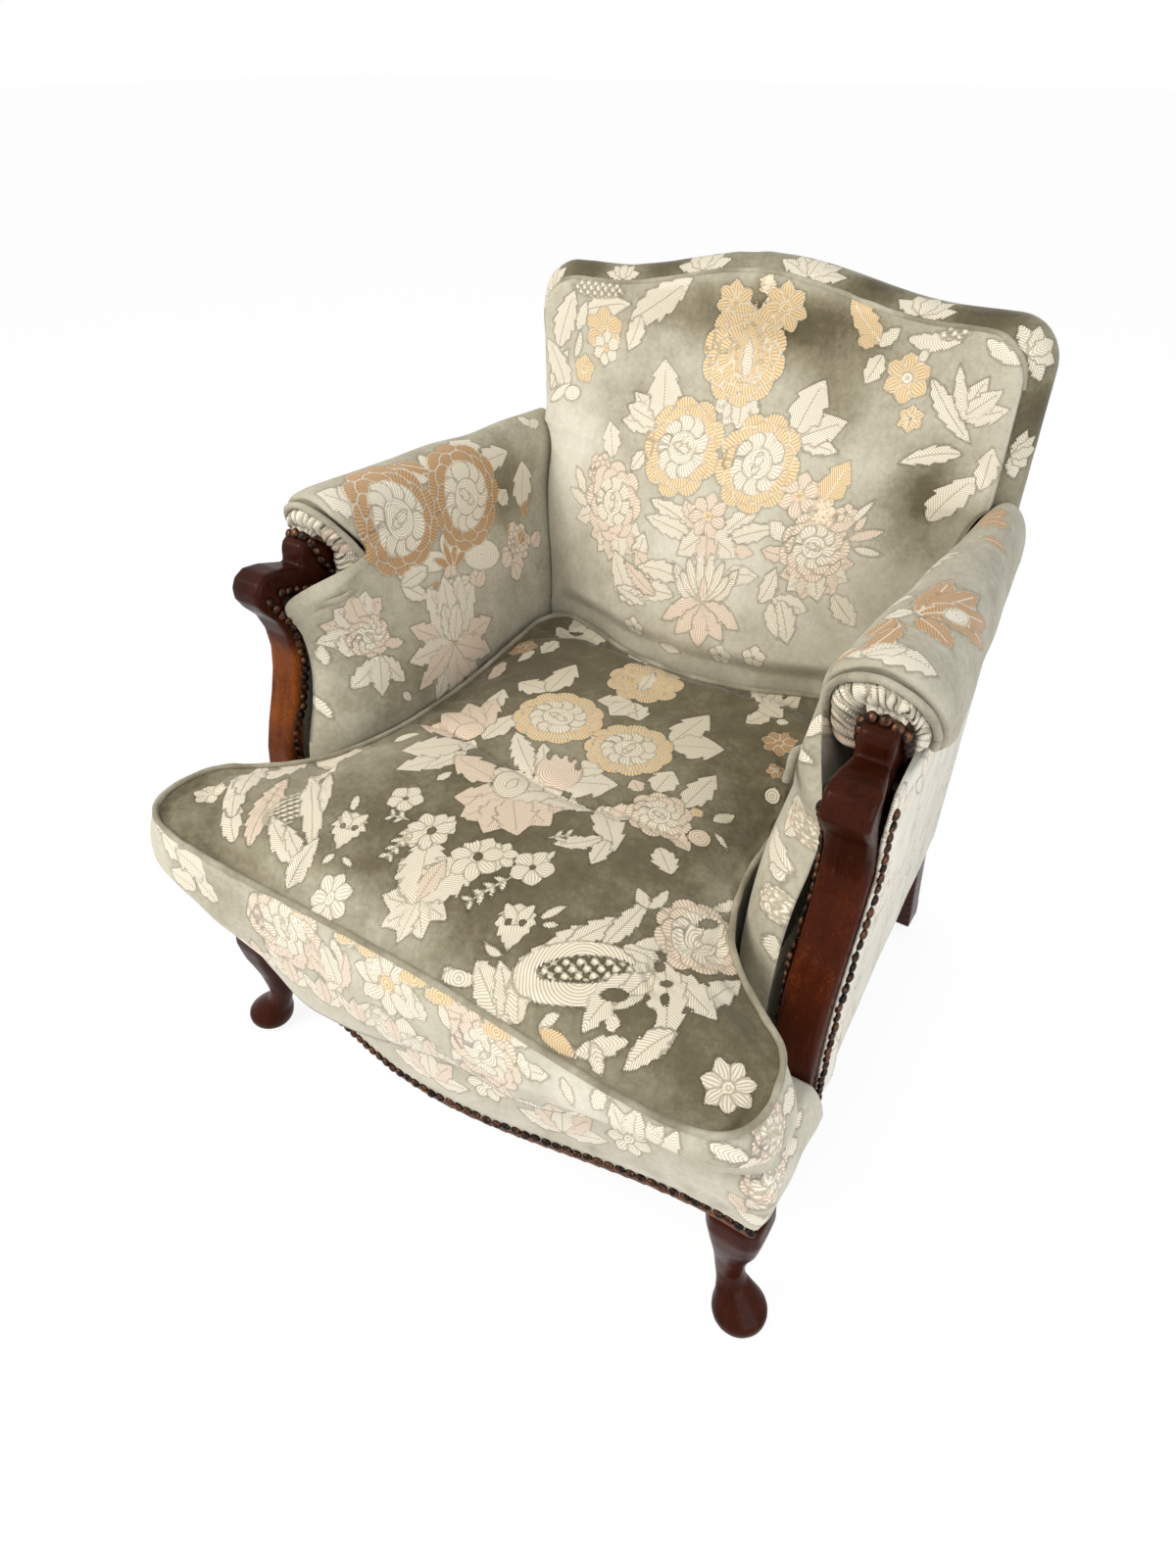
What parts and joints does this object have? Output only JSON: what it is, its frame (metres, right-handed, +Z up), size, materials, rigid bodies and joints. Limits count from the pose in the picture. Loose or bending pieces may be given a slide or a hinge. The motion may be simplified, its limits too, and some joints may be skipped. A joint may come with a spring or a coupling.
{
  "type": "armchair",
  "caption": "Sagging old armchair in sage cut-velvet brocade, with a loose T cushion, rolled arms and mahogany posts and legs",
  "frame": {"origin": "on the floor under the middle of the chair's overall box", "axes": "X runs across the chair, its symmetry direction; the seat's open front faces -Y; Z is up"},
  "size_m": [0.7372, 0.7455, 0.8435],
  "materials": {
    "mahogany": "old French polish, dark in the hollows, worn to red-brown on the edges",
    "beech": "bare sawn frame timber, inside the upholstery",
    "brocade": "sage cut velvet with cream, blush and gold woven flowers, faded and worn",
    "jute": "brown jute webbing and hessian",
    "wadding": "cotton wadding under calico",
    "spring_steel": "coppered coil spring wire",
    "dust_cloth": "black dust cloth",
    "nails": "antiqued dark domed upholstery nails"
  },
  "bodies": {
    "root": {"arm_gathers_left": "brocade", "arm_gathers_right": "brocade", "arm_pad_left": "brocade", "arm_pad_right": "brocade", "arm_piping_left": "brocade", "arm_piping_right": "brocade", "arm_post_left": "mahogany", "arm_post_right": "mahogany", "arm_rail_left": "beech", "arm_rail_right": "beech", "back_border": "brocade", "back_pad": "brocade", "back_seat_rail": "beech", "back_web_1": "jute", "back_web_2": "jute", "back_web_3": "jute", "crest_rail": "beech", "cross_web_1": "jute", "cross_web_2": "jute", "cross_web_3": "jute", "cross_web_4": "jute", "cushion_piping": "brocade", "dust_cover": "dust_cloth", "front_border": "brocade", "front_corner_block_left": "beech", "front_corner_block_right": "beech", "front_leg_left": "mahogany", "front_leg_right": "mahogany", "front_rail": "mahogany", "length_web_1": "jute", "length_web_2": "jute", "length_web_3": "jute", "length_web_4": "jute", "lower_arm_rail_left": "beech", "lower_arm_rail_right": "beech", "lower_back_rail": "beech", "outside_arm_left": "brocade", "outside_arm_right": "brocade", "outside_back": "brocade", "rear_corner_block_left": "beech", "rear_corner_block_right": "beech", "rear_post_left": "mahogany", "rear_post_right": "mahogany", "seat_cushion": "brocade", "seat_deck": "wadding", "seat_spring_1": "spring_steel", "seat_spring_2": "spring_steel", "seat_spring_3": "spring_steel", "seat_spring_4": "spring_steel", "seat_spring_5": "spring_steel", "seat_spring_6": "spring_steel", "seat_spring_7": "spring_steel", "seat_spring_8": "spring_steel", "seat_spring_9": "spring_steel", "side_rail_left": "beech", "side_rail_right": "beech", "spring_hessian": "jute"}
  },
  "joints": []
}
